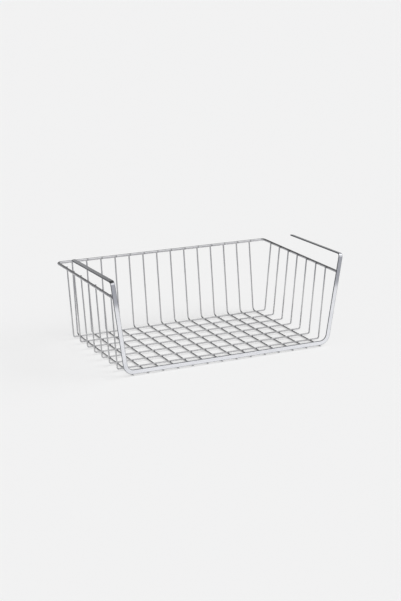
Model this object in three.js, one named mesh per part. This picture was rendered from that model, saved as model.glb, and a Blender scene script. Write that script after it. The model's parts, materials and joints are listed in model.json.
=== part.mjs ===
// A chromed wire basket that hangs under a shelf by two flat arms.
// Millimetres, +Z up. The origin lies on the surface that the basket stands on, at the middle of
// its outline: +X to the right of someone who faces the open front, +Y to the back.
import * as THREE from 'three';

// Stock that the pieces are bent from
const WIRE_DIAMETER = 2.4;
const RIM_DIAMETER = 4.5;
const BAR_WIDTH = 7.5;
const BAR_THICKNESS = 2;
const BAR_EDGE_RADIUS = 0.7;
const WELD_GAP = 0.3; // space left for the weld between two pieces that touch

// Basket
const BASKET_DEPTH = 257; // front face of the frame to the back of the back wires' upper ends
const RIM_SPAN = 400; // between the axes of the rim's two sides
const RIM_HEIGHT = 127.6; // rim axis above the standing surface
const RIM_CORNER_RADIUS = 6;
const FLOOR_SPAN = 373.4; // between the cross wires' two floor corners
const BACK_WALL_LEAN = 19.7; // foot of the back wall in front of its wires' upper ends
const WIRE_TOP_OVERRUN = 1.2; // wire ends above the rim axis

// Cross wires: down one side wall, over the floor and up the other side wall
const CROSS_WIRE_COUNT = 7;
const CROSS_WIRE_BEND = 3;
const FIRST_CROSS_WIRE_INSET = 31.1; // behind the front face of the frame
const LAST_CROSS_WIRE_INSET = 18.4; // in front of the foot of the back wall

// Back wires: down the back wall, then forward along the floor
const BACK_WIRE_COUNT = 14;
const BACK_WIRE_BEND = 10;
const BACK_WIRE_MARGIN = 14.5; // from a floor corner to the nearest back wire
const BACK_WIRE_END_INSET = 0.5; // behind the front face of the frame

// Front frame: one flat bar bent into two arms, two posts and the bottom bar between them
const FOOT_INSET = 2.4; // post line inside the floor corner, at the height of the bottom bar
const POST_OFFSET = 2.2; // post line outside the rim's side axis, at rim height
const POST_CORNER_RADIUS = 15;
const SHELF_SLOT = 26.4; // from the top of the rim to the underside of an arm, at its post
const ARM_LENGTH = 164; // front face of the frame to the tip of an arm
const ARM_DROP = 3; // tip of an arm below its front end
const ARM_BEND_RADIUS = 5;

// Facets
const WIRE_SIDES = 8;
const RIM_SIDES = 12;
const EDGE_STEPS = 2;
const BEND_STEPS = 5;

const CHROME = { color: 0xb9bcc2, roughness: 0.16, metalness: 1 };

// Lines and levels that the pieces share
const wireRadius = WIRE_DIAMETER / 2;
const rimRadius = RIM_DIAMETER / 2;
const frontFace = -BASKET_DEPTH / 2;
const frameLine = frontFace + BAR_THICKNESS / 2;
const rimFrontEnd = frontFace + BAR_THICKNESS + WELD_GAP;
const rimSideLine = RIM_SPAN / 2;
const floorCorner = FLOOR_SPAN / 2;
const backWireLevel = wireRadius;
const wireTop = RIM_HEIGHT + WIRE_TOP_OVERRUN;
const backWallTop = BASKET_DEPTH / 2 - wireRadius;
const backWallFoot = backWallTop - BACK_WALL_LEAN;
const wireClearance = rimRadius + WELD_GAP + wireRadius;
const crossWireLevel = backWireLevel + WIRE_DIAMETER + WELD_GAP;
const barLevel = backWireLevel + wireRadius + WELD_GAP + BAR_WIDTH / 2;
const armLevel = RIM_HEIGHT + rimRadius + SHELF_SLOT + BAR_THICKNESS / 2;
const rimBackLine = rimLineInside(backWallFoot, backWallTop);

// A line of straight legs with rounded corners. Its only stops are the ends of legs and the steps
// of the bends, so a section that is swept along it has no needless rings.
class BentLine extends THREE.Curve {
  constructor(points, bendRadii) {
    super();
    const last = points.length - 1;
    this.stops = [{ point: points[0], tangent: direction(points[0], points[1]) }];
    for (let i = 1; i < last; i++) {
      this.addBend(points[i - 1], points[i], points[i + 1], bendRadii[i - 1]);
    }
    this.stops.push({ point: points[last], tangent: direction(points[last - 1], points[last]) });
    this.steps = this.stops.length - 1;
  }

  addBend(before, corner, after, radius) {
    const inward = direction(before, corner);
    const outward = direction(corner, after);
    const turn = inward.angleTo(outward);
    const axis = inward.clone().cross(outward).normalize();
    const start = corner.clone().addScaledVector(inward, -radius * Math.tan(turn / 2));
    const spoke = inward.clone().cross(axis).multiplyScalar(radius);
    const centre = start.clone().sub(spoke);
    for (let i = 0; i <= BEND_STEPS; i++) {
      const angle = (turn * i) / BEND_STEPS;
      const point = spoke.clone().applyAxisAngle(axis, angle).add(centre);
      this.stops.push({ point, tangent: inward.clone().applyAxisAngle(axis, angle) });
    }
  }

  stopAt(share) {
    return this.stops[Math.round(share * this.steps)];
  }

  getPointAt(share) {
    return this.stopAt(share).point.clone();
  }

  getTangentAt(share) {
    return this.stopAt(share).tangent.clone();
  }
}

function direction(from, to) {
  return to.clone().sub(from).normalize();
}

// A regular section that measures its diameter across the flats.
function roundSection(diameter, sides) {
  const cornerRadius = diameter / 2 / Math.cos(Math.PI / sides);
  const corners = [];
  for (let i = 0; i < sides; i++) {
    const angle = ((i + 0.5) * 2 * Math.PI) / sides;
    corners.push(new THREE.Vector2(Math.cos(angle), Math.sin(angle)).multiplyScalar(cornerRadius));
  }
  return new THREE.Shape(corners);
}

// The flat bar's section, with rounded edges, turned by roll about the bar's line.
function barSection(roll) {
  const edge = Math.min(BAR_EDGE_RADIUS, BAR_THICKNESS / 2, BAR_WIDTH / 2);
  const middle = new THREE.Vector2();
  const corners = [];
  for (const [quarter, sideX, sideY] of [[0, 1, 1], [1, -1, 1], [2, -1, -1], [3, 1, -1]]) {
    for (let i = 0; i <= EDGE_STEPS; i++) {
      const angle = ((quarter + i / EDGE_STEPS) * Math.PI) / 2;
      const x = sideX * (BAR_WIDTH / 2 - edge) + edge * Math.cos(angle);
      const y = sideY * (BAR_THICKNESS / 2 - edge) + edge * Math.sin(angle);
      corners.push(new THREE.Vector2(x, y).rotateAround(middle, roll));
    }
  }
  return new THREE.Shape(corners);
}

function bentPiece(name, section, points, bendRadii) {
  const line = new BentLine(points, bendRadii);
  const geometry = new THREE.ExtrudeGeometry(section, { steps: line.steps, extrudePath: line });
  const mesh = new THREE.Mesh(geometry, new THREE.MeshStandardMaterial(CHROME));
  mesh.name = name;
  return mesh;
}

// How far out from the middle a cross wire ends, when it leans against the inside of the rim's side
// with the weld gap between them.
function crossWireReach() {
  const outward = rimSideLine - floorCorner;
  const rise = RIM_HEIGHT - crossWireLevel;
  const lean = Math.atan2(outward, rise) - Math.asin(wireClearance / Math.hypot(outward, rise));
  return floorCorner + Math.tan(lean) * (rise + WIRE_TOP_OVERRUN);
}

// Where the rim's back axis lies, when the back wires lean past the outside of the rim with the weld
// gap between them.
function rimLineInside(foot, top) {
  const slope = (top - foot) / (wireTop - backWireLevel);
  return foot + slope * (RIM_HEIGHT - backWireLevel) - wireClearance * Math.hypot(1, slope);
}

function frontFrame() {
  const foot = floorCorner - FOOT_INSET;
  const flare = (rimSideLine + POST_OFFSET - foot) / (RIM_HEIGHT - barLevel);
  const top = foot + flare * (armLevel - barLevel);
  const tip = [frontFace + ARM_LENGTH, armLevel - ARM_DROP];
  const points = [
    new THREE.Vector3(-top, ...tip),
    new THREE.Vector3(-top, frameLine, armLevel),
    new THREE.Vector3(-foot, frameLine, barLevel),
    new THREE.Vector3(foot, frameLine, barLevel),
    new THREE.Vector3(top, frameLine, armLevel),
    new THREE.Vector3(top, ...tip),
  ];
  const bends = [ARM_BEND_RADIUS, POST_CORNER_RADIUS, POST_CORNER_RADIUS, ARM_BEND_RADIUS];
  return bentPiece('front_frame', barSection(Math.atan(flare)), points, bends);
}

function rimRod() {
  const points = [
    new THREE.Vector3(-rimSideLine, rimFrontEnd, RIM_HEIGHT),
    new THREE.Vector3(-rimSideLine, rimBackLine, RIM_HEIGHT),
    new THREE.Vector3(rimSideLine, rimBackLine, RIM_HEIGHT),
    new THREE.Vector3(rimSideLine, rimFrontEnd, RIM_HEIGHT),
  ];
  const section = roundSection(RIM_DIAMETER, RIM_SIDES);
  return bentPiece('rim_rod', section, points, [RIM_CORNER_RADIUS, RIM_CORNER_RADIUS]);
}

function crossWire(number, y) {
  const reach = crossWireReach();
  const points = [
    new THREE.Vector3(-reach, y, wireTop),
    new THREE.Vector3(-floorCorner, y, crossWireLevel),
    new THREE.Vector3(floorCorner, y, crossWireLevel),
    new THREE.Vector3(reach, y, wireTop),
  ];
  const section = roundSection(WIRE_DIAMETER, WIRE_SIDES);
  return bentPiece(`cross_wire_${number}`, section, points, [CROSS_WIRE_BEND, CROSS_WIRE_BEND]);
}

function backWire(number, x) {
  const points = [
    new THREE.Vector3(x, backWallTop, wireTop),
    new THREE.Vector3(x, backWallFoot, backWireLevel),
    new THREE.Vector3(x, frontFace + BACK_WIRE_END_INSET, backWireLevel),
  ];
  const section = roundSection(WIRE_DIAMETER, WIRE_SIDES);
  return bentPiece(`back_wire_${number}`, section, points, [BACK_WIRE_BEND]);
}

const basket = new THREE.Group();
basket.add(frontFrame(), rimRod());

const firstCrossWire = frontFace + FIRST_CROSS_WIRE_INSET;
const lastCrossWire = backWallFoot - LAST_CROSS_WIRE_INSET;
for (let i = 0; i < CROSS_WIRE_COUNT; i++) {
  const share = i / (CROSS_WIRE_COUNT - 1);
  basket.add(crossWire(i + 1, THREE.MathUtils.lerp(firstCrossWire, lastCrossWire, share)));
}

const outermostBackWire = floorCorner - BACK_WIRE_MARGIN;
for (let i = 0; i < BACK_WIRE_COUNT; i++) {
  const share = i / (BACK_WIRE_COUNT - 1);
  basket.add(backWire(i + 1, THREE.MathUtils.lerp(-outermostBackWire, outermostBackWire, share)));
}

export default basket;
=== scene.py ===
"""A chromed wire basket that hangs under a shelf, dressed and set up for its portrait.

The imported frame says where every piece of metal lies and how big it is. Each class below draws one
kind of piece again from smooth stock, rounds its cut ends and plates it, and the weld metal where
pieces meet is added. A plain studio and the camera come last. Lengths are in metres.
"""

from __future__ import annotations

import json
import logging
import math
from dataclasses import dataclass
from enum import Enum, IntEnum
from itertools import pairwise
from typing import Any, Iterable, Sequence

import bmesh
import bpy
from mathutils import Matrix, Vector, geometry

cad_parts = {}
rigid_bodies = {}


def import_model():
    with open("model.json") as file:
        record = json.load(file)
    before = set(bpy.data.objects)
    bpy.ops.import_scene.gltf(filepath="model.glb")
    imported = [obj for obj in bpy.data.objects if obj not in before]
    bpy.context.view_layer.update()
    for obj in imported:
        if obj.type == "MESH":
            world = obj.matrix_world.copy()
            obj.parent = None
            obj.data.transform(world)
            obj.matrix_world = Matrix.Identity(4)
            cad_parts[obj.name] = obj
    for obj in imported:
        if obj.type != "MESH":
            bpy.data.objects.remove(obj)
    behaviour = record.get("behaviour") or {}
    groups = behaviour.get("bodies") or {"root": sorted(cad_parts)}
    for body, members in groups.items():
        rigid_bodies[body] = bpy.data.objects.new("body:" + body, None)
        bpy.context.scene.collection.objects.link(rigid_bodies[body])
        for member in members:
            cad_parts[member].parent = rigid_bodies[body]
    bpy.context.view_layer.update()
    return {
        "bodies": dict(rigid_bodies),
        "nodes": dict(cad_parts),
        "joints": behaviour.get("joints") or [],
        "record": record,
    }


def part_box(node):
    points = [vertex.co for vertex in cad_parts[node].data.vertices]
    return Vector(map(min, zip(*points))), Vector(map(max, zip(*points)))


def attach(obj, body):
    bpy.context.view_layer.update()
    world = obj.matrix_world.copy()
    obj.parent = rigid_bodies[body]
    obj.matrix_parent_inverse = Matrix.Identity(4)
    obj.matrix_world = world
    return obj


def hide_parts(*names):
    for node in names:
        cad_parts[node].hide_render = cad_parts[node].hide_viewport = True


LOG = logging.getLogger("wire_basket")

Tree = bpy.types.NodeTree
Socket = bpy.types.NodeSocket
Ring = list[bmesh.types.BMVert]

MM = 0.001
BODY = "root"
ALONG_X = Vector((1, 0, 0))
ALONG_Y = Vector((0, 1, 0))
ALONG_Z = Vector((0, 0, 1))
BEND_STEPS = 14
SAME_POINT = 0.0005 * MM  # points closer than this become one
RUN_MAP = "run"  # lengthwise map of a piece: metres along it and metres round it
WELD_MARK_MASK = "weld_mark_mask"  # 1 at a weld, 0 away from it: duller plating there, darkened by painted shade
MARK_STOPS = (-1.0, -0.5, 0.0, 0.5, 1.0)  # stops round a weld, as shares of the reach of its mark
COLOUR_A = 6  # number of a Mix node's first colour input
COLOUR_B = 7  # number of its second colour input
BLEND = 2  # number of its colour output


class Slot(Enum):
    """The record's material slots."""

    FLAT_BAR = "chrome_flat_bar"
    ROD = "chrome_rod"
    WIRE = "chrome_wire"


class BarFinish(IntEnum):
    """The front frame's finishes, by their number on the piece."""

    FACE = 0
    EDGE = 1


class Side(IntEnum):
    """The basket's two sides, by the sign of X there."""

    LEFT = -1
    RIGHT = 1


# Nodes and colours


def linear(hex_colour: str) -> tuple[float, float, float, float]:
    """Turns an sRGB hex colour into linear light.

    Args:
        hex_colour: six hex digits after a hash sign.

    Returns:
        Red, green, blue and an alpha of 1.
    """
    channels = [int(hex_colour[i : i + 2], 16) / 255 for i in (1, 3, 5)]
    red, green, blue = (
        c / 12.92 if c <= 0.04045 else ((c + 0.055) / 1.055) ** 2.4 for c in channels
    )
    return red, green, blue, 1.0


def add_node(
    tree: Tree,
    kind: str,
    settings: dict[str | int, Any] | None = None,
    links: dict[str | int, Socket] | None = None,
) -> bpy.types.Node:
    """Adds a node with its settings and links.

    Args:
        tree: the node tree that the node goes into.
        kind: the node's type name.
        settings: values of the node's properties by name, and of its inputs by name or number.
        links: output sockets by the name or number of the input that each one feeds.

    Returns:
        The new node.
    """
    node = tree.nodes.new(kind)
    for name, value in (settings or {}).items():
        if isinstance(name, str) and hasattr(node, name):
            setattr(node, name, value)
        else:
            node.inputs[name].default_value = value
    for name, socket in (links or {}).items():
        tree.links.new(socket, node.inputs[name])
    return node


def blank_tree(owner: bpy.types.Material | bpy.types.World) -> Tree:
    """Turns a material or a world over to nodes, with none in it yet.

    Args:
        owner: the material or the world.

    Returns:
        Its empty node tree.
    """
    owner.use_nodes = True
    owner.node_tree.nodes.clear()
    return owner.node_tree


def put_in_scene(name: str, data: bpy.types.ID) -> bpy.types.Object:
    """Makes an object of a mesh, a lamp or a camera and links it to the scene.

    Args:
        name: name of the object.
        data: the mesh, the lamp or the camera.

    Returns:
        The new object.
    """
    thing = bpy.data.objects.new(name, data)
    bpy.context.scene.collection.objects.link(thing)
    return thing


@dataclass(frozen=True)
class ChromeFinish:
    """Bright chrome over nickel on steel, plated after welding.

    Clean plating mirrors the room almost sharply. The stock shows through it as faint lengthwise
    lines from the die or the rolls and as a slow ripple that bends reflections. Soft clouds of
    haze, and a duller ring round each weld, keep it from looking like a perfect mirror. The ring's
    darker colour is painted shade where the pieces meet.

    Attributes:
        name: material name.
        plate: colour of clean plating.
        haze: colour of hazy plating.
        ring: colour of the ring round a weld: duller plating, darkened by painted shade where the
            pieces meet.
        roughness: roughness of clean plating.
        haze_roughness: roughness of hazy plating.
        cloud_size: size of a cloud of haze.
        line_spacing: spacing of the lengthwise lines. Real ones lie under 0.1 mm apart and wouldn't
            show, so they are drawn coarser.
        line_length: length over which a line fades out.
        line_depth: depth of a line.
        ripple_length: length of the ripple in the stock.
        ripple_depth: depth of that ripple.
        clear_below: strength of the cloud noise up to which the plating is clean.
        hazy_above: strength of the cloud noise from which it is fully hazy.
        cloud_detail: how many times finer clouds are laid over the first ones.
        cloud_grain: how strong finer clouds are beside the ones before them.
        line_detail: how many times finer lines are laid over the first ones.
        ripple_detail: how many times finer ripples are laid over the first ones.
    """

    name: str
    plate: str
    haze: str
    ring: str
    roughness: float
    haze_roughness: float
    cloud_size: float
    line_spacing: float
    line_length: float
    line_depth: float
    ripple_length: float
    ripple_depth: float
    clear_below: float = 0.45
    hazy_above: float = 0.85
    cloud_detail: float = 3.0
    cloud_grain: float = 0.55
    line_detail: float = 2.0
    ripple_detail: float = 1.0

    def material(self) -> bpy.types.Material:
        """Builds the node material.

        Returns:
            The new material.
        """
        material = bpy.data.materials.new(self.name)
        tree = blank_tree(material)
        place = add_node(tree, "ShaderNodeTexCoord").outputs["Object"]
        colour, roughness = self._plating(tree, place)
        shader = add_node(
            tree,
            "ShaderNodeBsdfPrincipled",
            {"Metallic": 1.0},
            {"Base Color": colour, "Roughness": roughness, "Normal": self._relief(tree, place)},
        )
        add_node(tree, "ShaderNodeOutputMaterial", links={"Surface": shader.outputs["BSDF"]})
        return material

    def _plating(self, tree: Tree, place: Socket) -> tuple[Socket, Socket]:
        """Adds the clouds of haze and the duller rings round the welds, darkened by painted shade.

        Args:
            tree: the material's node tree.
            place: where a point lies on the piece.

        Returns:
            The plating's colour and its roughness.
        """
        noise = add_node(
            tree,
            "ShaderNodeTexNoise",
            {
                "Scale": 1 / self.cloud_size,
                "Detail": self.cloud_detail,
                "Roughness": self.cloud_grain,
            },
            {"Vector": place},
        )
        clouds = add_node(
            tree,
            "ShaderNodeMapRange",
            {
                "interpolation_type": "SMOOTHSTEP",
                "From Min": self.clear_below,
                "From Max": self.hazy_above,
            },
            {"Value": noise.outputs["Fac"]},
        ).outputs["Result"]
        weld_mark = add_node(tree, "ShaderNodeAttribute", {"attribute_name": WELD_MARK_MASK}).outputs["Fac"]
        dullness = add_node(tree, "ShaderNodeMath", {"operation": "MAXIMUM"}, {0: clouds, 1: weld_mark})
        roughness = add_node(
            tree,
            "ShaderNodeMapRange",
            {"To Min": self.roughness, "To Max": self.haze_roughness},
            {"Value": dullness.outputs["Value"]},
        )
        clouded = add_node(
            tree,
            "ShaderNodeMix",
            {"data_type": "RGBA", COLOUR_A: linear(self.plate), COLOUR_B: linear(self.haze)},
            {"Factor": clouds},
        )
        # Painted shade: near a weld the colour turns towards the ring colour.
        colour = add_node(
            tree,
            "ShaderNodeMix",
            {"data_type": "RGBA", COLOUR_B: linear(self.ring)},
            {"Factor": weld_mark, COLOUR_A: clouded.outputs[BLEND]},
        )
        return colour.outputs[BLEND], roughness.outputs["Result"]

    def _relief(self, tree: Tree, place: Socket) -> Socket:
        """Adds the lengthwise lines and the ripple of the stock.

        Args:
            tree: the material's node tree.
            place: where a point lies on the piece.

        Returns:
            The direction that the surface faces.
        """
        run = add_node(tree, "ShaderNodeUVMap", {"uv_map": RUN_MAP}).outputs["UV"]
        line_grid = add_node(
            tree,
            "ShaderNodeMapping",
            {"Scale": (1 / self.line_length, 1 / self.line_spacing, 1.0)},
            {"Vector": run},
        )
        lines = add_node(
            tree,
            "ShaderNodeTexNoise",
            {"Scale": 1.0, "Detail": self.line_detail},
            {"Vector": line_grid.outputs["Vector"]},
        )
        lined = add_node(
            tree,
            "ShaderNodeBump",
            {"Strength": 1.0, "Distance": self.line_depth},
            {"Height": lines.outputs["Fac"]},
        )
        ripple = add_node(
            tree,
            "ShaderNodeTexNoise",
            {"Scale": 1 / self.ripple_length, "Detail": self.ripple_detail},
            {"Vector": place},
        )
        rippled = add_node(
            tree,
            "ShaderNodeBump",
            {"Strength": 1.0, "Distance": self.ripple_depth},
            {"Height": ripple.outputs["Fac"], "Normal": lined.outputs["Normal"]},
        )
        return rippled.outputs["Normal"]


# Rolled flat bar: wide faces that mirror the table, a little wavy across the length.
FLAT_BAR_CHROME = ChromeFinish(
    name="chrome_plated_rolled_bar",
    plate="#EBECF0",
    haze="#DBDDE3",
    ring="#DBDDE3",
    roughness=0.07,
    haze_roughness=0.16,
    cloud_size=22 * MM,
    line_spacing=0.5 * MM,
    line_length=30 * MM,
    line_depth=0.004 * MM,
    ripple_length=18 * MM,
    ripple_depth=0.03 * MM,
)

# Slit edges of the bar: rougher than the faces, and painted dark grey as shade beside the bright
# faces.
SLIT_EDGE_SHADE_CHROME = ChromeFinish(
    name="chrome_slit_edge_painted_shade",
    plate="#7A7C80",
    haze="#6A6C70",
    ring="#6A6C70",
    roughness=0.16,
    haze_roughness=0.24,
    cloud_size=9 * MM,
    line_spacing=0.5 * MM,
    line_length=12 * MM,
    line_depth=0.006 * MM,
    ripple_length=6 * MM,
    ripple_depth=0.01 * MM,
)

# Drawn rod: a long, even highlight with faint die lines, and rings of painted shade at the welds.
ROD_CHROME = ChromeFinish(
    name="chrome_plated_drawn_rod",
    plate="#CBCBCD",
    haze="#B9B9BC",
    ring="#929294",
    roughness=0.06,
    haze_roughness=0.15,
    cloud_size=16 * MM,
    line_spacing=0.4 * MM,
    line_length=25 * MM,
    line_depth=0.003 * MM,
    ripple_length=14 * MM,
    ripple_depth=0.015 * MM,
)

# Drawn wire: as the rod, finer, with dull rings at the welds, slightly darkened by painted shade.
WIRE_CHROME = ChromeFinish(
    name="chrome_plated_drawn_wire",
    plate="#C4C4C5",
    haze="#B0B0B2",
    ring="#B0B0B2",
    roughness=0.06,
    haze_roughness=0.12,
    cloud_size=12 * MM,
    line_spacing=0.3 * MM,
    line_length=20 * MM,
    line_depth=0.002 * MM,
    ripple_length=10 * MM,
    ripple_depth=0.01 * MM,
)

# Weld metal under the plating: a small lumpy bead, greyer and less sharp than the wire, and darker
# still by painted shade where it runs between the pieces.
WELD_CHROME = ChromeFinish(
    name="chrome_plated_weld_metal",
    plate="#9C9C9F",
    haze="#7C7C7F",
    ring="#7C7C7F",
    roughness=0.2,
    haze_roughness=0.36,
    cloud_size=1.4 * MM,
    line_spacing=0.6 * MM,
    line_length=0.6 * MM,
    line_depth=0.01 * MM,
    ripple_length=0.9 * MM,
    ripple_depth=0.05 * MM,
)


# Bent stock


@dataclass(frozen=True)
class Stop:
    """One place on a bent line.

    Attributes:
        point: where it is.
        heading: unit vector along the line.
        along: distance from the line's start.
    """

    point: Vector
    heading: Vector
    along: float


class BentLine:
    """A line of straight legs with rounded corners, kept as a row of stops."""

    def __init__(self, corners: Sequence[Vector], radii: Sequence[float]) -> None:
        """Lays the line out.

        Args:
            corners: the line's ends and, between them, the points where its legs would meet.
            radii: bend radius at each of those points between the ends.
        """
        self.stops: list[Stop] = []
        self._put(corners[0], (corners[1] - corners[0]).normalized())
        for before, corner, after, radius in zip(corners, corners[1:], corners[2:], radii):
            self._bend(before, corner, after, radius)
        self._put(corners[-1], (corners[-1] - corners[-2]).normalized())

    def _put(self, point: Vector, heading: Vector) -> None:
        """Adds a stop at the end.

        Args:
            point: where it is.
            heading: unit vector along the line there.
        """
        along = 0.0
        if self.stops:
            along = self.stops[-1].along + (point - self.stops[-1].point).length
        self.stops.append(Stop(point.copy(), heading, along))

    def _bend(self, before: Vector, corner: Vector, after: Vector, radius: float) -> None:
        """Adds the stops of one bend.

        Args:
            before: the corner before this one.
            corner: where the two legs would meet.
            after: the corner after this one.
            radius: bend radius.
        """
        inward = (corner - before).normalized()
        outward = (after - corner).normalized()
        turn = inward.angle(outward)
        axis = inward.cross(outward).normalized()
        spoke = inward.cross(axis) * radius
        centre = corner - inward * (radius * math.tan(turn / 2)) - spoke
        for step in range(BEND_STEPS + 1):
            part = Matrix.Rotation(turn * step / BEND_STEPS, 3, axis)
            self._put(centre + part @ spoke, part @ inward)

    @property
    def length(self) -> float:
        """Length of the line."""
        return self.stops[-1].along

    def nearest(self, point: Vector) -> float:
        """Finds the line's closest place to a point.

        Args:
            point: any point.

        Returns:
            How far along the line that place lies.
        """
        best = (math.inf, 0.0)
        for first, second in pairwise(self.stops):
            _, share = geometry.intersect_point_line(point, first.point, second.point)
            share = min(max(share, 0.0), 1.0)
            gap = (first.point.lerp(second.point, share) - point).length
            best = min(best, (gap, first.along + share * (second.along - first.along)))
        return best[1]

    def split_at(self, distances: Iterable[float]) -> None:
        """Adds stops to the line.

        Args:
            distances: how far along the line each new stop lies.
        """
        for distance in distances:
            for index, (first, second) in enumerate(pairwise(self.stops)):
                if first.along < distance < second.along:
                    share = (distance - first.along) / (second.along - first.along)
                    point = first.point.lerp(second.point, share)
                    heading = first.heading.lerp(second.heading, share).normalized()
                    self.stops.insert(index + 1, Stop(point, heading, distance))
                    break

    def sides(self, first: Vector) -> list[Vector]:
        """Carries a side direction along the line without twist.

        Args:
            first: unit vector square to the line at its start.

        Returns:
            The side direction at each stop.
        """
        carried = [first]
        for one, two in pairwise(self.stops):
            turn = one.heading.rotation_difference(two.heading)
            carried.append((turn @ carried[-1]).normalized())
        return carried


class Skin:
    """Joins rings of points into closed smooth surfaces, and makes one mesh of them."""

    def __init__(self, name: str) -> None:
        """Starts an empty mesh.

        Args:
            name: name of the piece.
        """
        self.name = name
        self.mesh = bmesh.new()
        self.run_map = self.mesh.loops.layers.uv.new(RUN_MAP)
        self.weld_mark = self.mesh.verts.layers.float.new(WELD_MARK_MASK)

    def ring(self, points: Iterable[Vector], weld_mark: float = 0.0) -> Ring:
        """Adds the points of one ring.

        Args:
            points: the ring's points, in order.
            weld_mark: how strongly a weld marks the metal there, with duller plating and painted
                shade.

        Returns:
            The new vertices.
        """
        ring = [self.mesh.verts.new(point) for point in points]
        for vertex in ring:
            vertex[self.weld_mark] = weld_mark
        return ring

    def band(
        self,
        first: Ring,
        second: Ring,
        first_along: float,
        second_along: float,
        finishes: Sequence[int] | None = None,
    ) -> None:
        """Closes the space between two rings with faces.

        Args:
            first: the ring nearer the start.
            second: the ring nearer the end.
            first_along: distance of the first ring along the piece.
            second_along: distance of the second ring along the piece.
            finishes: number of the finish on each face, if the piece has more than one.
        """
        count = len(first)
        round_first = 0.0
        for k in range(count):
            after = (k + 1) % count
            round_second = round_first + (first[after].co - first[k].co).length
            face = self.mesh.faces.new((first[k], first[after], second[after], second[k]))
            face.smooth = True
            face.material_index = finishes[k] if finishes else 0
            corners = (
                (first_along, round_first),
                (first_along, round_second),
                (second_along, round_second),
                (second_along, round_first),
            )
            for loop, corner in zip(face.loops, corners):
                loop[self.run_map].uv = corner
            round_first = round_second

    def cap(self, ring: Ring, along: float, at_start: bool) -> None:
        """Closes a ring with a fan of faces.

        Args:
            ring: the ring to close.
            along: distance of the ring along the piece.
            at_start: whether the ring is the first one of its surface.
        """
        middle = self.mesh.verts.new(sum((v.co for v in ring), Vector()) / len(ring))
        middle[self.weld_mark] = ring[0][self.weld_mark]
        for one, two in pairwise([*ring, ring[0]]):
            face = self.mesh.faces.new((two, one, middle) if at_start else (one, two, middle))
            face.smooth = True
            for loop in face.loops:
                loop[self.run_map].uv = (along, (loop.vert.co - middle.co).length)

    def piece(self, *materials: bpy.types.Material) -> bpy.types.Object:
        """Makes the object and hangs it on the basket.

        Args:
            materials: the piece's finishes, by number.

        Returns:
            The new object.
        """
        bmesh.ops.remove_doubles(self.mesh, verts=self.mesh.verts, dist=SAME_POINT)
        data = bpy.data.meshes.new(self.name)
        self.mesh.to_mesh(data)
        self.mesh.free()
        for material in materials:
            data.materials.append(material)
        piece = put_in_scene(self.name, data)
        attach(piece, BODY)
        return piece


def stand_for(piece: bpy.types.Object, slot: Slot, *nodes: str) -> None:
    """Hides the nodes that a piece takes the place of, and reports its faces and how near it lies to
    their boxes.

    Args:
        piece: the dressed piece.
        slot: the record's material slot; not used.
        nodes: the nodes of the frame that the piece takes the place of.
    """
    LOG.info("%s: %d faces", piece.name, len(piece.data.polygons))
    piece_box = (*piece.bound_box[0], *piece.bound_box[6])  # its lowest and its highest corner
    for node in nodes:
        low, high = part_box(node)
        offset = max(abs(a - b) for a, b in zip(piece_box, (*low, *high)))
        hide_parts(node)
        LOG.info("%s: within %.2f mm of the box of %s", piece.name, offset / MM, node)


@dataclass(frozen=True)
class RoundStock:
    """Drawn round wire or rod.

    Attributes:
        radius: radius of the stock.
        sides: points in one ring.
        end_radius: rounding of the cut ends' edge, softened by the plating.
        end_steps: rings in that rounding.
        mark_reach: how far along the stock a weld dulls it and darkens it with painted shade.
    """

    radius: float
    sides: int
    end_radius: float = 0.3 * MM
    end_steps: int = 4
    mark_reach: float = 2.0 * MM

    def skin(self, name: str, line: BentLine, side: Vector, welds: Iterable[Vector]) -> Skin:
        """Skins the stock along a line.

        Args:
            name: name of the piece.
            line: the stock's middle line.
            side: unit vector square to the line's plane.
            welds: points where the piece is welded.

        Returns:
            The skin of the piece, ready to be made an object.
        """
        marks = sorted(line.nearest(point) for point in welds)
        line.split_at(
            min(max(mark + self.mark_reach * share, 0.0), line.length)
            for mark in marks
            for share in MARK_STOPS
        )
        skin = Skin(name)
        rings: list[tuple[Ring, float]] = []
        directions = line.sides(side)
        for index, (stop, across) in enumerate(zip(line.stops, directions)):
            # Near a weld the plating is duller and painted shade darkens it.
            gap = min((abs(stop.along - mark) for mark in marks), default=math.inf)
            weld_mark = max(0.0, 1.0 - gap / self.mark_reach)
            for ahead, radius in self._end_profile(index, len(line.stops)):
                lift = stop.heading.cross(across)
                middle = stop.point + stop.heading * ahead
                points = (
                    middle + (across * math.cos(angle) + lift * math.sin(angle)) * radius
                    for angle in (2 * math.pi * k / self.sides for k in range(self.sides))
                )
                rings.append((skin.ring(points, weld_mark), stop.along + ahead))
        for (first, first_along), (second, second_along) in pairwise(rings):
            skin.band(first, second, first_along, second_along)
        skin.cap(*rings[0], at_start=True)
        skin.cap(*rings[-1], at_start=False)
        return skin

    def _end_profile(self, index: int, count: int) -> list[tuple[float, float]]:
        """Gives the rings at one stop: one in the run, several at a cut end.

        Args:
            index: number of the stop.
            count: how many stops the line has.

        Returns:
            Distance ahead of the stop and radius of each ring.
        """
        if 0 < index < count - 1:
            return [(0.0, self.radius)]
        rounding = []
        for step in range(self.end_steps + 1):
            angle = math.pi / 2 * step / self.end_steps
            ahead = self.end_radius * (1 - math.cos(angle))
            rounding.append((ahead, self.radius - self.end_radius * (1 - math.sin(angle))))
        if index == 0:
            return rounding
        return [(-ahead, radius) for ahead, radius in reversed(rounding)]


# The basket


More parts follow.
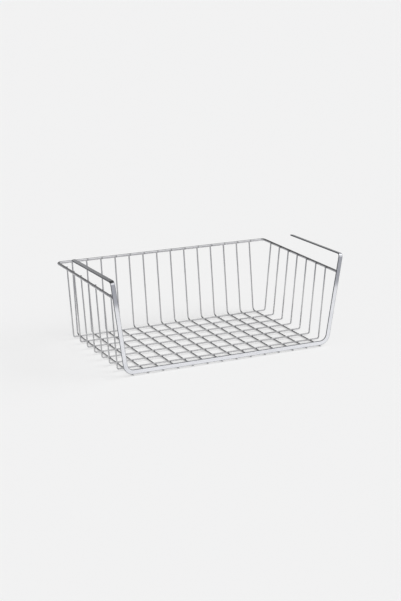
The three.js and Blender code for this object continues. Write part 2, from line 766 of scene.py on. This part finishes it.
@dataclass(frozen=True)
class BasketPlan:
    """Lines and levels that the pieces share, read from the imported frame.

    Attributes:
        rim_radius: radius of the rim rod.
        rim_level: height of the rim's axis.
        rim_side: distance of the rim's side axes from the middle.
        rim_back: the rim's back axis.
        rim_front: where the rim's two ends are cut.
        wire_radius: radius of the wires.
        wire_front: where the back wires' front ends are cut.
        floor_level: height of the back wires' axes on the floor.
        cross_level: height of the cross wires' axes on the floor.
        front_face: front face of the front frame.
        bar_foot: lower edge of the front frame's bottom bar.
        back_top: where the back wires' upper ends are cut.
        floor_corner: distance of the cross wires' floor corners from the middle.
        back_foot: foot of the back wall.
        overrun: how far the wires' ends stand above the rim's axis.
        weld_gap: space that the welds bridge.
    """

    rim_radius: float
    rim_level: float
    rim_side: float
    rim_back: float
    rim_front: float
    wire_radius: float
    wire_front: float
    floor_level: float
    cross_level: float
    front_face: float
    bar_foot: float
    back_top: float
    floor_corner: float = 186.7 * MM
    back_foot: float = 107.6 * MM
    overrun: float = 1.2 * MM
    weld_gap: float = 0.3 * MM

    @classmethod
    def from_frame(cls) -> BasketPlan:
        """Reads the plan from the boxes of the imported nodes.

        Returns:
            The plan.
        """
        rim_low, rim_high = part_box("rim_rod")
        wire_low, wire_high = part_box("back_wire_1")
        cross_low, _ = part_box("cross_wire_1")
        bar_low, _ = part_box("front_frame")
        rim_radius = (rim_high.z - rim_low.z) / 2
        wire_radius = (wire_high.x - wire_low.x) / 2
        return cls(
            rim_radius=rim_radius,
            rim_level=(rim_low.z + rim_high.z) / 2,
            rim_side=rim_high.x - rim_radius,
            rim_back=rim_high.y - rim_radius,
            rim_front=rim_low.y,
            wire_radius=wire_radius,
            wire_front=wire_low.y,
            floor_level=wire_low.z + wire_radius,
            cross_level=cross_low.z + wire_radius,
            front_face=bar_low.y,
            bar_foot=bar_low.z,
            back_top=wire_high.y - wire_radius,
        )

    @property
    def wire_top(self) -> float:
        """Height at which the wall wires are cut."""
        return self.rim_level + self.overrun

    @property
    def side_top(self) -> float:
        """Works out where the cross wires, which lean on the rim from inside, are cut.

        Returns:
            Distance from the middle.
        """
        outward = self.rim_side - self.floor_corner
        rise = self.rim_level - self.cross_level
        clearance = self.rim_radius + self.weld_gap + self.wire_radius
        lean = math.atan2(outward, rise) - math.asin(clearance / math.hypot(outward, rise))
        return self.floor_corner + math.tan(lean) * (rise + self.overrun)


def middle_of(node: str) -> Vector:
    """Gives the middle of a node's box."""
    low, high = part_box(node)
    return (low + high) / 2


@dataclass
class CrossWires:
    """U-shaped wires: down one side wall, over the floor and up the other side wall.

    Attributes:
        plan: the basket's shared lines.
        nodes: the nodes of these wires, from the front to the back.
        bend_radius: bend between floor and wall.
        sides: points round the wire.
    """

    plan: BasketPlan
    nodes: Sequence[str]
    bend_radius: float = 3 * MM
    sides: int = 20

    def lines(self) -> list[float]:
        """Gives how far back each wire lies."""
        return [middle_of(node).y for node in self.nodes]

    def wall(self, y: float, side: Side) -> tuple[Vector, Vector]:
        """Gives the foot and the top of one upright.

        Args:
            y: how far back the wire lies.
            side: the wall that it stands in.

        Returns:
            The floor corner and the cut end.
        """
        plan = self.plan
        foot = Vector((side * plan.floor_corner, y, plan.cross_level))
        return foot, Vector((side * plan.side_top, y, plan.wire_top))

    def build(self, material: bpy.types.Material, back_lines: Sequence[float]) -> None:
        """Makes the wires.

        Args:
            material: the wires' finish.
            back_lines: where the back wires cross the floor, from the left to the right.
        """
        plan = self.plan
        stock = RoundStock(plan.wire_radius, self.sides)
        for node, y in zip(self.nodes, self.lines()):
            left_foot, left_top = self.wall(y, Side.LEFT)
            right_foot, right_top = self.wall(y, Side.RIGHT)
            corners = (left_top, left_foot, right_foot, right_top)
            line = BentLine(corners, (self.bend_radius, self.bend_radius))
            welds = [Vector((x, y, plan.cross_level)) for x in back_lines]
            welds += [Vector((side * plan.rim_side, y, plan.rim_level)) for side in Side]
            skin = stock.skin(f"{node}_plated", line, ALONG_Y, welds)
            stand_for(skin.piece(material), Slot.WIRE, node)


@dataclass
class BackWires:
    """L-shaped wires: down the back wall, then forward along the floor.

    Attributes:
        plan: the basket's shared lines.
        nodes: the nodes of these wires, from the left to the right.
        bend_radius: bend between wall and floor.
        sides: points round the wire.
    """

    plan: BasketPlan
    nodes: Sequence[str]
    bend_radius: float = 7.5 * MM
    sides: int = 20

    def lines(self) -> list[float]:
        """Gives how far to the right each wire lies."""
        return [middle_of(node).x for node in self.nodes]

    def wall(self, x: float) -> tuple[Vector, Vector]:
        """Gives the foot and the top of one upright, which passes behind the rim."""
        foot = Vector((x, self.plan.back_foot, self.plan.floor_level))
        return foot, Vector((x, self.plan.back_top, self.plan.wire_top))

    def build(self, material: bpy.types.Material, cross_lines: Sequence[float]) -> None:
        """Makes the wires.

        Args:
            material: the wires' finish.
            cross_lines: where the cross wires cross the floor, from the front to the back.
        """
        plan = self.plan
        stock = RoundStock(plan.wire_radius, self.sides)
        for node, x in zip(self.nodes, self.lines()):
            foot, top = self.wall(x)
            front = Vector((x, plan.wire_front, plan.floor_level))
            line = BentLine((top, foot, front), (self.bend_radius,))
            welds = [Vector((x, y, plan.floor_level)) for y in cross_lines]
            welds.append(Vector((x, plan.rim_back, plan.rim_level)))
            skin = stock.skin(f"{node}_plated", line, ALONG_X, welds)
            stand_for(skin.piece(material), Slot.WIRE, node)


@dataclass
class RimRod:
    """U-shaped rod along the left side, the back and the right side of the basket.

    Attributes:
        plan: the basket's shared lines.
        node: the rod's node.
        corner_radius: bend at the two back corners.
        sides: points round the rod.
    """

    plan: BasketPlan
    node: str = "rim_rod"
    corner_radius: float = 6 * MM
    sides: int = 28

    def build(self, material: bpy.types.Material, welds: Sequence[Vector]) -> None:
        """Makes the rod.

        Args:
            material: the rod's finish.
            welds: points where wires are welded to it.
        """
        plan = self.plan
        corners = [
            Vector((x, y, plan.rim_level))
            for x, y in (
                (-plan.rim_side, plan.rim_front),
                (-plan.rim_side, plan.rim_back),
                (plan.rim_side, plan.rim_back),
                (plan.rim_side, plan.rim_front),
            )
        ]
        line = BentLine(corners, (self.corner_radius, self.corner_radius))
        stock = RoundStock(plan.rim_radius, self.sides)
        skin = stock.skin(f"{self.node}_plated", line, ALONG_Z, welds)
        stand_for(skin.piece(material), Slot.ROD, self.node)


@dataclass
class FrontFrame:
    """One flat bar, bent into two arms, two posts and the bottom bar between them.

    Attributes:
        plan: the basket's shared lines.
        node: the frame's node.
        width: width of the bar.
        thickness: thickness of the bar.
        edge_radius: rounding of the bar's edges.
        foot_line: distance of a post's line from the middle, at the bottom bar.
        rim_line: distance of a post's line from the middle, at the rim.
        corner_radius: edgewise bend between a post and the bottom bar.
        arm_bend_radius: flatwise bend between a post and its arm.
        shelf_slot: from the top of the rim to the underside of an arm, at the post.
        arm_length: from the front face to the tip of an arm.
        arm_drop: how much lower the tip is than the front end of an arm.
        edge_steps: steps in the rounding of an edge.
        tip_steps: steps in the rounding of a tip.
        hold: width of the strip beside a rounded edge that keeps the face next to it flat.
        face_rise: how much a strip of a wide face may rise through the thickness.
    """

    plan: BasketPlan
    node: str = "front_frame"
    width: float = 7.5 * MM
    thickness: float = 2.0 * MM
    edge_radius: float = 0.7 * MM
    foot_line: float = 184.3 * MM
    rim_line: float = 202.2 * MM
    corner_radius: float = 15 * MM
    arm_bend_radius: float = 5 * MM
    shelf_slot: float = 26.4 * MM
    arm_length: float = 164 * MM
    arm_drop: float = 3 * MM
    edge_steps: int = 6
    tip_steps: int = 10
    hold: float = 0.08 * MM
    face_rise: float = 0.01 * MM

    @property
    def bar_level(self) -> float:
        """Height of the bottom bar's middle line."""
        return self.plan.bar_foot + self.width / 2

    @property
    def middle_plane(self) -> float:
        """Middle of the bar's thickness in the posts."""
        return self.plan.front_face + self.thickness / 2

    @property
    def post_slope(self) -> float:
        """How far a post leans out for each metre of height."""
        return (self.rim_line - self.foot_line) / (self.plan.rim_level - self.bar_level)

    def section(self) -> list[tuple[float, float]]:
        """Works out the bar's section.

        Returns:
            Points across the bar's width and through its thickness, in order round the section.
        """
        points = []
        for quarter, (side_x, side_z) in enumerate(((1, 1), (-1, 1), (-1, -1), (1, -1))):
            centre_x = side_x * (self.width / 2 - self.edge_radius)
            centre_z = side_z * (self.thickness / 2 - self.edge_radius)
            for step in range(self.edge_steps + 1):
                angle = (quarter + step / self.edge_steps) * math.pi / 2
                x = centre_x + self.edge_radius * math.cos(angle)
                z = centre_z + self.edge_radius * math.sin(angle)
                hold_x = self.hold * math.sin(angle)
                hold_z = self.hold * math.cos(angle)
                if step == 0:
                    points.append((x + hold_x, z - hold_z))
                points.append((x, z))
                if step == self.edge_steps:
                    points.append((x - hold_x, z + hold_z))
        return points

    def half_line(self) -> BentLine:
        """Lays out the right half of the bar.

        Returns:
            Its line, from the middle of the bottom bar to the arm's tip.
        """
        plan = self.plan
        arm_level = plan.rim_level + plan.rim_radius + self.shelf_slot + self.thickness / 2
        top = self.foot_line + self.post_slope * (arm_level - self.bar_level)
        corners = (
            Vector((0, self.middle_plane, self.bar_level)),
            Vector((self.foot_line, self.middle_plane, self.bar_level)),
            Vector((top, self.middle_plane, arm_level)),
            Vector((top, plan.front_face + self.arm_length, arm_level - self.arm_drop)),
        )
        return BentLine(corners, (self.corner_radius, self.arm_bend_radius))

    def half_rings(self) -> list[tuple[list[Vector], float]]:
        """Works out the rings of the right half.

        Returns:
            The points of each ring and its distance from the middle of the bottom bar.
        """
        line = self.half_line()
        section = self.section()
        tip_radius = self.width / 2
        tip_quarters = [1 - k / self.tip_steps for k in range(self.tip_steps + 1)]
        rings = []
        for stop, across in zip(line.stops, line.sides(ALONG_Z)):
            through = stop.heading.cross(across)
            is_tip = stop is line.stops[-1]
            middle = stop.point - stop.heading * (tip_radius if is_tip else 0.0)
            for quarter in tip_quarters if is_tip else [1.0]:
                angle = quarter * math.pi / 2
                points = [
                    middle
                    + across * (x * math.sin(angle))
                    + through * z
                    + stop.heading * (abs(x) * math.cos(angle))
                    for x, z in section
                ]
                back = tip_radius * (1 - math.cos(angle)) if is_tip else 0.0
                rings.append((points, stop.along - back))
        return rings

    def strip_finishes(self) -> list[BarFinish]:
        """Tells the wide faces from the slit edges.

        Returns:
            The finish of each strip round the section.
        """
        section = self.section()
        rises = (abs(after - z) for (_, z), (_, after) in pairwise([*section, section[0]]))
        return [BarFinish.EDGE if rise > self.face_rise else BarFinish.FACE for rise in rises]

    def build(self, face: bpy.types.Material, edge: bpy.types.Material) -> None:
        """Makes the bar: the right half and its mirror image, joined in the middle.

        Args:
            face: finish of the wide faces.
            edge: finish of the slit edges, painted dark grey as shade.
        """
        half = self.half_rings()
        finishes = self.strip_finishes()
        mirror = Matrix.Diagonal((-1, 1, 1))
        left = [
            ([mirror @ point for point in points], -along) for points, along in reversed(half[1:])
        ]
        skin = Skin(f"{self.node}_plated")
        rings = [(skin.ring(points), along) for points, along in left + half]
        for (first, first_along), (second, second_along) in pairwise(rings):
            skin.band(first, second, first_along, second_along, finishes)
        stand_for(skin.piece(face, edge), Slot.FLAT_BAR, self.node)


@dataclass(frozen=True)
class Stretch:
    """A short straight stretch of round metal that a weld takes hold of.

    Attributes:
        centre: point on its axis, closest to the other piece.
        heading: unit vector along it.
        radius: its radius.
    """

    centre: Vector
    heading: Vector
    radius: float


def stretches(
    one: Sequence[Vector], one_radius: float, two: Sequence[Vector], two_radius: float
) -> tuple[Stretch, Stretch]:
    """Finds where two straight pieces come closest.

    Args:
        one: two points on the axis of the first piece.
        one_radius: its radius.
        two: two points on the axis of the second piece.
        two_radius: its radius.

    Returns:
        The stretch of each piece that is welded to the other.
    """
    near_one, near_two = geometry.intersect_line_line(*one, *two)
    return (
        Stretch(near_one, (one[1] - one[0]).normalized(), one_radius),
        Stretch(near_two, (two[1] - two[0]).normalized(), two_radius),
    )


@dataclass
class Welds:
    """Weld metal that bridges the small spaces between the pieces.

    Attributes:
        name: name of the piece.
        spread: how far a weld runs along a piece, as a share of the piece's radius.
        hug: how far a weld reaches round a piece, as a share of the piece's radius.
        pinch: how much narrower a weld is halfway between the pieces.
        bite: how deep a weld reaches into a piece.
        steps: rings from one piece to the other.
        sides: points in one ring.
    """

    name: str
    spread: float = 1.3
    hug: float = 0.78
    pinch: float = 0.22
    bite: float = 0.06 * MM
    steps: int = 6
    sides: int = 16

    def __post_init__(self) -> None:
        """Starts the skin that all the welds of this piece go into."""
        self.skin = Skin(self.name)
        self.count = 0

    def _landing(self, stretch: Stretch, normal: Vector, way: Vector) -> tuple[float, float]:
        """Finds where a weld meets a piece in one direction.

        Args:
            stretch: the piece.
            normal: unit vector from the piece's axis to the other piece.
            way: unit vector square to the normal.

        Returns:
            Distance from the weld's middle, and height above the piece's axis.
        """
        lengthwise = way.dot(stretch.heading)
        crosswise = way.dot(normal.cross(stretch.heading))
        longest, widest = self.spread * stretch.radius, self.hug * stretch.radius
        reach = 1 / math.hypot(lengthwise / longest, crosswise / widest)
        return reach, math.sqrt(stretch.radius**2 - (reach * crosswise) ** 2) - self.bite

    def neck(self, one: Stretch, two: Stretch) -> None:
        """Adds a weld between two crossing pieces.

        Args:
            one: stretch of the first piece.
            two: stretch of the second piece.
        """
        normal = (two.centre - one.centre).normalized()
        first = one.heading
        second = normal.cross(first)
        rings = []
        for step in range(self.steps + 1):
            share = step / self.steps
            waist = 1 - self.pinch * math.sin(math.pi * share)
            points = []
            for k in range(self.sides):
                angle = 2 * math.pi * k / self.sides
                way = first * math.cos(angle) + second * math.sin(angle)
                one_reach, one_height = self._landing(one, normal, way)
                two_reach, two_height = self._landing(two, -normal, way)
                low = one.centre + normal * one_height
                high = two.centre - normal * two_height
                reach = (one_reach + (two_reach - one_reach) * share) * waist
                points.append(low.lerp(high, share) + way * reach)
            # The mark, duller plating with painted shade, is strongest halfway between the pieces.
            rings.append(self.skin.ring(points, math.sin(math.pi * share)))
        self._close(rings)

    def _close(self, rings: Sequence[Ring]) -> None:
        """Skins one weld and closes its two ends, which lie inside the pieces.

        Args:
            rings: the weld's rings, from one piece to the other.
        """
        for index, (first, second) in enumerate(pairwise(rings)):
            self.skin.band(first, second, index * MM, (index + 1) * MM)
        self.skin.cap(rings[0], 0.0, at_start=True)
        self.skin.cap(rings[-1], 0.0, at_start=False)
        self.count += 1

    def build(self, material: bpy.types.Material, slot: Slot) -> None:
        """Makes one piece of all the welds.

        Args:
            material: the welds' finish.
            slot: the record's material slot.
        """
        piece = self.skin.piece(material)
        stand_for(piece, slot)
        LOG.info("%s: %d welds", piece.name, self.count)


@dataclass
class FloorWelds(Welds):
    """Necks where the cross wires lie on the back wires."""

    name: str = "floor_welds"

    def lay(self, cross_wires: CrossWires, back_wires: BackWires) -> None:
        """Adds a weld at every crossing.

        Args:
            cross_wires: the upper wires.
            back_wires: the lower wires.
        """
        plan = back_wires.plan
        for x in back_wires.lines():
            for y in cross_wires.lines():
                below = Stretch(Vector((x, y, plan.floor_level)), ALONG_Y, plan.wire_radius)
                above = Stretch(Vector((x, y, plan.cross_level)), ALONG_X, plan.wire_radius)
                self.neck(below, above)


@dataclass
class RimWelds(Welds):
    """Necks where the wires' upper ends lean on the rim."""

    name: str = "rim_welds"

    def lay(self, cross_wires: CrossWires, back_wires: BackWires) -> list[Vector]:
        """Adds a weld at every upper end.

        Args:
            cross_wires: the wires inside the rim's sides.
            back_wires: the wires behind the rim's back.

        Returns:
            Where the welds sit on the rim's axis.
        """
        plan = back_wires.plan
        back_rim = [Vector((x, plan.rim_back, plan.rim_level)) for x in (-1.0, 1.0)]
        walls = [(back_wires.wall(x), back_rim) for x in back_wires.lines()]
        for side in Side:
            side_rim = [Vector((side * plan.rim_side, y, plan.rim_level)) for y in (-1.0, 1.0)]
            walls += [(cross_wires.wall(y, side), side_rim) for y in cross_wires.lines()]
        points = []
        for wall, axis in walls:
            wire, rim = stretches(wall, plan.wire_radius, axis, plan.rim_radius)
            self.neck(wire, rim)
            points.append(rim.centre)
        return points


@dataclass
class FrameWelds(Welds):
    """Welds of the front frame: necks under its bottom bar, and fillets behind its posts.

    Attributes:
        spread: short enough to keep a neck behind the bar's front face.
        fillet: radius of a fillet.
    """

    name: str = "frame_welds"
    spread: float = 0.7
    fillet: float = 0.9 * MM

    def lay(self, frame: FrontFrame, back_wires: BackWires) -> None:
        """Adds a neck over each back wire's front end, and a fillet at each end of the rim.

        Args:
            frame: the front frame.
            back_wires: the wires that end under its bottom bar.
        """
        plan = frame.plan
        edge_radius = frame.thickness / 2
        for x in back_wires.lines():
            end = Vector((x, frame.middle_plane, plan.floor_level))
            edge = Vector((x, frame.middle_plane, plan.bar_foot + edge_radius))
            self.neck(
                Stretch(end, ALONG_Y, plan.wire_radius),
                Stretch(edge, ALONG_X, edge_radius),
            )
        for side in Side:
            self._collar(frame, side)

    def _collar(self, frame: FrontFrame, side: Side) -> None:
        """Adds the fillet round one end of the rim, no wider than the flat of the post.

        Args:
            frame: the front frame.
            side: the side of the post.
        """
        plan = frame.plan
        post_back = plan.front_face + frame.thickness
        post = Vector((side * frame.post_slope, 0, 1)).normalized()
        over = Vector((side * post.z, 0, -abs(post.x)))
        rim_in_post = (plan.rim_side - frame.rim_line) * post.z
        flat_edge = frame.width / 2 - frame.edge_radius
        rings = []
        for step in range(self.steps + 1):
            angle = math.pi / 2 * step / self.steps
            radius = plan.rim_radius + self.fillet * (1 - math.sin(angle)) - self.bite
            y = post_back + self.fillet * (1 - math.cos(angle)) - self.bite
            middle = Vector((side * plan.rim_side, y, plan.rim_level))
            points = []
            for k in range(self.sides):
                turn = -side * 2 * math.pi * k / self.sides
                across = radius * math.cos(turn)
                across = min(max(across, -flat_edge - rim_in_post), flat_edge - rim_in_post)
                points.append(middle + over * across + post * (radius * math.sin(turn)))
            # The mark, duller plating with painted shade, is strongest against the post.
            rings.append(self.skin.ring(points, 1 - step / self.steps))
        self._close(rings)


# The studio


@dataclass(frozen=True)
class PhotoCamera:
    """The camera, at the photograph's viewing angle.

    Attributes:
        azimuth: turn about the vertical, in degrees; 0 looks along +Y.
        elevation: height above the horizon, in degrees.
        roll: tilt of the picture, in degrees.
        distance: from the camera to the plane through the aim point.
        aim: point near the middle of the basket.
        slide: how far the camera stands to the right of the aim point and above it.
        focal_pixels: focal length in pixels of the picture.
        picture_height: height of the picture in pixels.
        sensor: height of the film.
        far_limit: how far the camera sees.
    """

    azimuth: float = -26.83
    elevation: float = 16.21
    roll: float = 0.41
    distance: float = 2350.5 * MM
    aim: tuple[float, float, float] = (0.0, -1.66 * MM, 63.9 * MM)
    slide: tuple[float, float] = (8.12 * MM, 5.01 * MM)
    focal_pixels: float = 1385.8
    picture_height: int = 601
    sensor: float = 36.0
    far_limit: float = 100.0

    def build(self) -> None:
        """Makes the camera and takes it for the scene."""
        azimuth, elevation, roll = map(math.radians, (self.azimuth, self.elevation, self.roll))
        level = math.cos(elevation)
        back = Vector((math.sin(azimuth) * level, -math.cos(azimuth) * level, math.sin(elevation)))
        right = Vector((math.cos(azimuth), math.sin(azimuth), 0.0))
        up = back.cross(right)
        tilt = Matrix.Rotation(roll, 3, back)
        right, up = tilt @ right, tilt @ up
        place = Vector(self.aim) + right * self.slide[0] + up * self.slide[1] + back * self.distance
        data = bpy.data.cameras.new("photo_camera")
        data.sensor_fit = "VERTICAL"
        data.sensor_height = self.sensor
        data.lens = self.focal_pixels * self.sensor / self.picture_height
        data.clip_end = self.far_limit
        camera = put_in_scene("photo_camera", data)
        camera.matrix_world = Matrix((right, up, back)).transposed().to_4x4()
        camera.location = place
        bpy.context.scene.camera = camera


@dataclass(frozen=True)
class SoftLamp:
    """A far, wide lamp that lights the whole floor evenly.

    The metal doesn't mirror it: what shines in the metal is the room's own soft light.

    Attributes:
        name: name of the lamp.
        direction: where it is, seen from the basket.
        angle: how wide it looks, in degrees.
        strength: its strength.
    """

    name: str
    direction: tuple[float, float, float]
    angle: float
    strength: float

    def build(self) -> None:
        """Sets up the lamp."""
        data = bpy.data.lights.new(self.name, "SUN")
        data.energy = self.strength
        data.angle = math.radians(self.angle)
        lamp = put_in_scene(self.name, data)
        lamp.rotation_euler = Vector(self.direction).to_track_quat("Z", "Y").to_euler()
        lamp.visible_glossy = False


@dataclass(frozen=True)
class Studio:
    """A pale card under soft light in a room.

    Attributes:
        floor_radius: radius of the floor.
        floor_sides: points round the floor.
        floor_drop: how far the floor lies under the basket's lowest line.
        card_colour: colour of the pale card that the basket stands on.
        card_centre: middle of the card.
        card_half_size: half of the card's width and depth.
        card_turn: how far the card lies askew, in degrees.
        card_edge: how softly the card gives way to the table, as a part of its half size.
        glow_share: how much of the card is lit from below, which softens the shadows on it.
        glow_in_metal: the same share where metal mirrors the card.
        glow_level: brightness of that light.
        table_colour: colour of the table round the card. Only reflections show it, and the camera
            sees the card's colour everywhere.
        ceiling_tilt: way up from the floor to the ceiling, which comes lower at the back.
        ceiling_fade: heights, along that way, at which the walls begin and cease to turn into it.
        ceiling: colour of the dim ceiling.
        behind: colour of the walls behind the basket.
        in_front: colour of the walls on the camera's side.
        front_fade: how far back the walls begin and cease to turn into those in front.
        overhead: colour of the wide soft light in the ceiling.
        overhead_level: brightness of that light.
        overhead_fade: how far to the right that light begins and is full.
        lamps: the soft lamps.
    """

    floor_radius: float = 16.0
    floor_sides: int = 96
    floor_drop: float = 0.1 * MM
    card_colour: str = "#F3F3F3"
    card_centre: tuple[float, float, float] = (0.09, -0.055, 0.0)
    card_half_size: tuple[float, float, float] = (0.37, 0.475, 1.0)
    card_turn: float = 8.0
    card_edge: float = 0.08
    glow_share: float = 0.57
    glow_in_metal: float = 0.2
    glow_level: float = 0.96
    table_colour: str = "#ACADB1"
    ceiling_tilt: tuple[float, float, float] = (0.0, 0.25, 1.0)
    ceiling_fade: tuple[float, float] = (0.5, 0.75)
    ceiling: str = "#4C4C4C"
    behind: str = "#A0A0A0"
    in_front: str = "#EDEDEE"
    front_fade: tuple[float, float] = (0.3, 0.0)
    overhead: str = "#FAFAFB"
    overhead_level: float = 1.75
    overhead_fade: tuple[float, float] = (0.22, 0.34)
    lamps: tuple[SoftLamp, ...] = (
        SoftLamp("key_from_the_right", (0.76, -0.2, 0.6), 50.0, 2.35),
        SoftLamp("fill_from_above", (-0.3, 0.0, 0.954), 50.0, 0.38),
    )

    def build(self) -> None:
        """Makes the floor, the lamps and the room's light."""
        self._floor()
        for lamp in self.lamps:
            lamp.build()
        self._room()
        bpy.context.scene.view_settings.view_transform = "Standard"

    def _floor(self) -> None:
        """Makes the surface that the basket stands on."""
        mesh = bmesh.new()
        bmesh.ops.create_circle(
            mesh, cap_ends=True, segments=self.floor_sides, radius=self.floor_radius
        )
        data = bpy.data.meshes.new("pale_floor")
        mesh.to_mesh(data)
        mesh.free()
        data.materials.append(self._card())
        floor = put_in_scene("pale_floor", data)
        floor.location.z = -self.floor_drop

    def _card(self) -> bpy.types.Material:
        """Builds the floor's material: matt white card, with a grey table round it.

        Returns:
            The new material.
        """
        material = bpy.data.materials.new("matt_white_card")
        tree = blank_tree(material)
        place = add_node(tree, "ShaderNodeTexCoord").outputs["Object"]
        sheet = add_node(
            tree,
            "ShaderNodeMapping",
            {
                "vector_type": "TEXTURE",
                "Location": self.card_centre,
                "Rotation": (0.0, 0.0, math.radians(self.card_turn)),
                "Scale": self.card_half_size,
            },
            {"Vector": place},
        )
        inner = add_node(
            tree,
            "ShaderNodeVectorMath",
            {"operation": "ABSOLUTE"},
            {0: sheet.outputs["Vector"]},
        )
        sides = add_node(tree, "ShaderNodeSeparateXYZ", links={"Vector": inner.outputs["Vector"]})
        reach = add_node(
            tree,
            "ShaderNodeMath",
            {"operation": "MAXIMUM"},
            {0: sides.outputs["X"], 1: sides.outputs["Y"]},
        )
        outside = add_node(
            tree,
            "ShaderNodeMapRange",
            {
                "interpolation_type": "SMOOTHSTEP",
                "From Min": 1.0 - self.card_edge,
                "From Max": 1.0 + self.card_edge,
            },
            {"Value": reach.outputs["Value"]},
        )
        rays = add_node(tree, "ShaderNodeLightPath")
        table = add_node(
            tree,
            "ShaderNodeMath",
            {"operation": "SUBTRACT", "use_clamp": True},
            {0: outside.outputs["Result"], 1: rays.outputs["Is Camera Ray"]},
        )
        colour = add_node(
            tree,
            "ShaderNodeMix",
            {
                "data_type": "RGBA",
                COLOUR_A: linear(self.card_colour),
                COLOUR_B: linear(self.table_colour),
            },
            {"Factor": table.outputs["Value"]},
        ).outputs[BLEND]
        lit = add_node(tree, "ShaderNodeBsdfDiffuse", links={"Color": colour})
        glow = add_node(
            tree,
            "ShaderNodeEmission",
            {"Strength": self.glow_level},
            {"Color": colour},
        )
        in_metal = add_node(
            tree,
            "ShaderNodeMath",
            {"operation": "MULTIPLY", 1: self.glow_in_metal},
            {0: rays.outputs["Is Glossy Ray"]},
        )
        share = add_node(
            tree,
            "ShaderNodeMath",
            {"operation": "MULTIPLY_ADD", 1: self.glow_share},
            {0: rays.outputs["Is Camera Ray"], 2: in_metal.outputs["Value"]},
        )
        shader = add_node(
            tree,
            "ShaderNodeMixShader",
            links={"Fac": share.outputs["Value"], 1: lit.outputs["BSDF"], 2: glow.outputs["Emission"]},
        )
        add_node(tree, "ShaderNodeOutputMaterial", links={"Surface": shader.outputs["Shader"]})
        return material

    def _room(self) -> None:
        """Lights the room: pale walls in front, grey ones behind, and a dim ceiling.

        A wide soft light fills the ceiling to the right, on the camera's side.
        """
        world = bpy.data.worlds.new("dim_room")
        tree = blank_tree(world)
        way = add_node(tree, "ShaderNodeTexCoord").outputs["Generated"]
        axes = add_node(tree, "ShaderNodeSeparateXYZ", links={"Vector": way})
        height = add_node(
            tree,
            "ShaderNodeVectorMath",
            {"operation": "DOT_PRODUCT", 1: self.ceiling_tilt},
            {0: way},
        )
        front, high, right = (
            add_node(
                tree,
                "ShaderNodeMapRange",
                {"interpolation_type": "SMOOTHSTEP", "From Min": begin, "From Max": cease},
                {"Value": measure},
            ).outputs["Result"]
            for measure, (begin, cease) in (
                (axes.outputs["Y"], self.front_fade),
                (height.outputs["Value"], self.ceiling_fade),
                (axes.outputs["X"], self.overhead_fade),
            )
        )
        soft_box = add_node(
            tree,
            "ShaderNodeMath",
            {"operation": "MULTIPLY"},
            {0: right, 1: front},
        )
        glow = add_node(
            tree,
            "ShaderNodeMath",
            {"operation": "MULTIPLY", 1: self.overhead_level},
            {0: soft_box.outputs["Value"]},
        )
        walls = add_node(
            tree,
            "ShaderNodeMix",
            {"data_type": "RGBA", COLOUR_A: linear(self.behind), COLOUR_B: linear(self.in_front)},
            {"Factor": front},
        )
        ceiling = add_node(
            tree,
            "ShaderNodeMix",
            {
                "data_type": "RGBA",
                "clamp_factor": False,
                COLOUR_A: linear(self.ceiling),
                COLOUR_B: linear(self.overhead),
            },
            {"Factor": glow.outputs["Value"]},
        )
        room = add_node(
            tree,
            "ShaderNodeMix",
            {"data_type": "RGBA"},
            {"Factor": high, COLOUR_A: walls.outputs[BLEND], COLOUR_B: ceiling.outputs[BLEND]},
        )
        light = add_node(tree, "ShaderNodeBackground", links={"Color": room.outputs[BLEND]})
        add_node(tree, "ShaderNodeOutputWorld", links={"Surface": light.outputs["Background"]})
        bpy.context.scene.world = world


def numbered(stem: str, nodes: Iterable[str]) -> list[str]:
    """Picks the nodes with this stem, in the order of their numbers."""
    found = [node for node in nodes if node.startswith(stem)]
    return sorted(found, key=lambda node: int(node.removeprefix(stem)))


def main() -> None:
    """Dresses the basket, welds it together and sets up the studio."""
    logging.basicConfig(level=logging.INFO, format="%(name)s: %(message)s")
    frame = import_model()
    plan = BasketPlan.from_frame()
    bar_chrome, shaded_edge_chrome, rod_chrome, wire_chrome, weld_chrome = (
        finish.material()
        for finish in (FLAT_BAR_CHROME, SLIT_EDGE_SHADE_CHROME, ROD_CHROME, WIRE_CHROME, WELD_CHROME)
    )
    cross_wires = CrossWires(plan, numbered("cross_wire_", frame["nodes"]))
    back_wires = BackWires(plan, numbered("back_wire_", frame["nodes"]))
    front_frame = FrontFrame(plan)

    floor_welds, rim_welds, frame_welds = FloorWelds(), RimWelds(), FrameWelds()
    floor_welds.lay(cross_wires, back_wires)
    rim_points = rim_welds.lay(cross_wires, back_wires)
    frame_welds.lay(front_frame, back_wires)

    front_frame.build(bar_chrome, shaded_edge_chrome)
    RimRod(plan).build(rod_chrome, rim_points)
    cross_wires.build(wire_chrome, back_wires.lines())
    back_wires.build(wire_chrome, cross_wires.lines())
    for welds in (floor_welds, rim_welds):
        welds.build(weld_chrome, Slot.WIRE)
    frame_welds.build(bar_chrome, Slot.FLAT_BAR)

    Studio().build()
    PhotoCamera().build()


if __name__ == "__main__":
    main()
